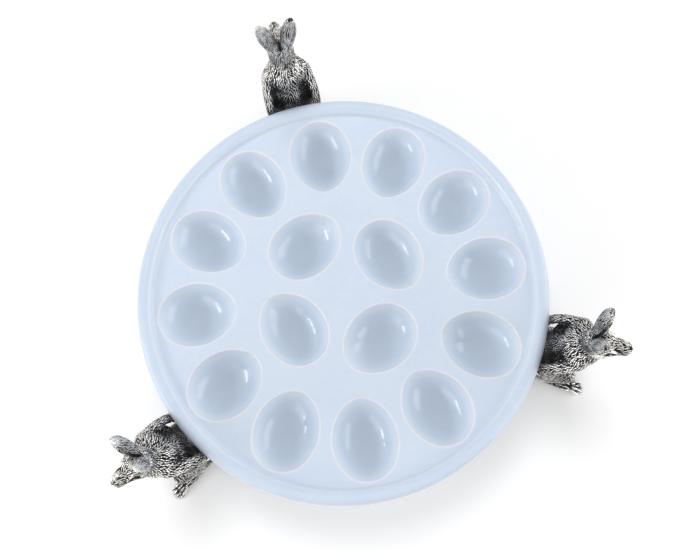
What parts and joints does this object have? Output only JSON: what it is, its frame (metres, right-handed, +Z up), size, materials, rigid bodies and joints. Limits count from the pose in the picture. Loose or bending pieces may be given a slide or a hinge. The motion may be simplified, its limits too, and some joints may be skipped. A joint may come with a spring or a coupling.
{
  "type": "deviled egg platter",
  "caption": "Round glazed stoneware deviled egg tray, carried at its rim by standing cast-pewter hares whose paws grip a ring under the rim",
  "frame": {"origin": "centre of the footprint, on the table", "axes": "+Z up, +Y from the middle of the tray towards the hare at the back, +X to the right as pictured"},
  "size_m": [0.3744, 0.3561, 0.1619],
  "materials": {
    "glaze": "glossy pale blue-white glaze",
    "pewter": "antiqued cast pewter, dark in the recesses and bright on the high spots",
    "pads": "soft translucent silicone"
  },
  "bodies": {
    "stand": {"support_ring": "pewter", "ring_pads": "pads", "back_hare_body": "pewter", "back_hare_head": "pewter", "back_hare_left_ear": "pewter", "back_hare_right_ear": "pewter", "back_hare_left_arm": "pewter", "back_hare_right_arm": "pewter", "back_hare_tail": "pewter", "right_hare_body": "pewter", "right_hare_head": "pewter", "right_hare_left_ear": "pewter", "right_hare_right_ear": "pewter", "right_hare_left_arm": "pewter", "right_hare_right_arm": "pewter", "right_hare_tail": "pewter", "left_hare_body": "pewter", "left_hare_head": "pewter", "left_hare_left_ear": "pewter", "left_hare_right_ear": "pewter", "left_hare_left_arm": "pewter", "left_hare_right_arm": "pewter", "left_hare_tail": "pewter"},
    "tray": {"tray": "glaze"}
  },
  "joints": [
    {"name": "tray_lift", "type": "slide", "parent": "stand", "child": "tray", "axis": [0, 0, 1], "range_m": [0, 0.12]}
  ]
}
